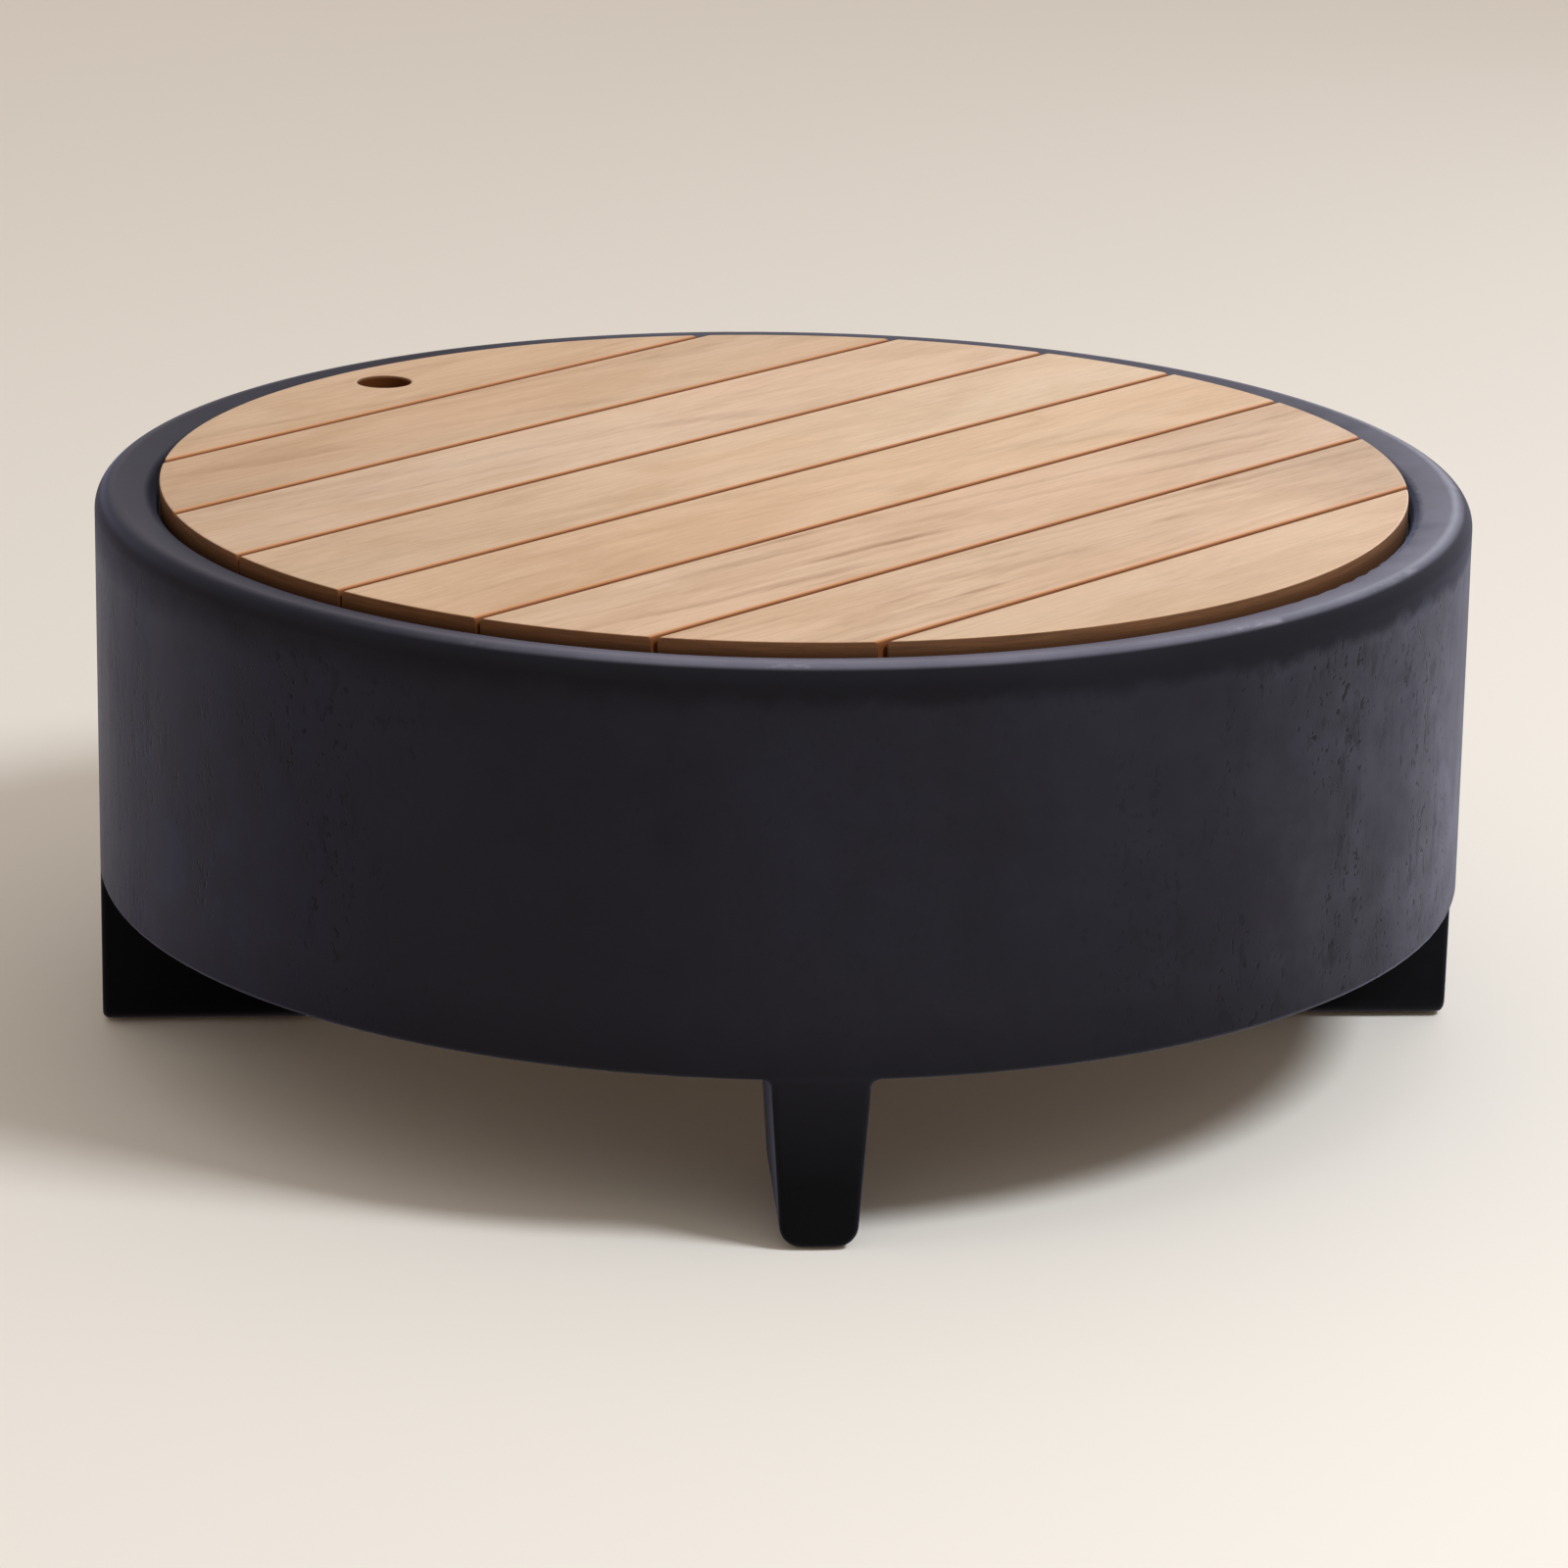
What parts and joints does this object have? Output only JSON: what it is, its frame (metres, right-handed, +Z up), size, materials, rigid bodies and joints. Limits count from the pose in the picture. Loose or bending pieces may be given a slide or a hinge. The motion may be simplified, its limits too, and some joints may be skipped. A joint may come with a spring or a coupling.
{
  "type": "fire pit table",
  "caption": "Round charcoal concrete fire pit table on blade feet, with a lift-off slatted teak lid over a gas ring burner in lava rock, and a control niche in the rear wall.",
  "frame": {"origin": "on the floor under the drum's centre", "axes": "+Z up; +Y towards the control niche and the lid's finger hole; the lid's boards run along X"},
  "size_m": [1.22, 1.2197, 0.5035],
  "materials": {
    "concrete": "matte",
    "teak": "satin",
    "nylon": "matte",
    "stainless": "satin",
    "zinc": "satin",
    "brass": "satin",
    "copper": "satin",
    "lava_rock": "matte",
    "hose": "satin",
    "lead_rubber": "matte",
    "black_plastic": "satin",
    "button_plastic": "satin",
    "knob": "satin",
    "insulator": "gloss",
    "bumper_rubber": "matte"
  },
  "bodies": {
    "table": {"concrete_body": "concrete", "foot_glides": "nylon", "burner_pan": "stainless", "ring_burner": "stainless", "burner_locknut": "brass", "lava_rock_bed": "lava_rock", "burner_elbow": "brass", "hose_nuts": "brass", "feed_hose": "hose", "control_panel": "stainless", "panel_screws": "zinc", "gas_valve_body": "brass", "valve_locknut": "zinc", "inlet_elbow": "brass", "inlet_locknut": "brass", "igniter_body": "black_plastic", "igniter_nut": "black_plastic", "electrode_insulator": "insulator", "electrode_rod": "stainless", "electrode_lead": "lead_rubber", "thermocouple": "copper", "thermocouple_lead": "copper"},
    "lid": {"lid_board_1": "teak", "lid_board_2": "teak", "lid_board_3": "teak", "lid_board_4": "teak", "lid_board_5": "teak", "lid_board_6": "teak", "lid_board_7": "teak", "lid_board_8": "teak", "lid_batten_1": "teak", "lid_batten_2": "teak", "lid_batten_3": "teak", "lid_batten_4": "teak", "lid_screws": "zinc", "lid_bumpers": "bumper_rubber"},
    "valve_plunger": {"stem_collar": "brass"},
    "knob": {"control_knob": "knob", "valve_stem": "zinc"},
    "igniter_push": {"igniter_button": "button_plastic"}
  },
  "joints": [
    {"name": "lid_lift", "type": "slide", "parent": "table", "child": "lid", "axis": [0, 0, 1], "range_m": [0, 0.3]},
    {"name": "knob_push", "type": "slide", "parent": "table", "child": "valve_plunger", "axis": [0, -1, 0], "range_m": [0, 0.005], "stiffness_N_per_m": 600},
    {"name": "knob_turn", "type": "hinge", "parent": "valve_plunger", "child": "knob", "pos_m": [-0.034, 0.56881, 0.294], "axis": [0, 1, 0], "range_deg": [0, 210]},
    {"name": "igniter_press", "type": "slide", "parent": "table", "child": "igniter_push", "axis": [0, -1, 0], "range_m": [0, 0.004], "stiffness_N_per_m": 800}
  ]
}
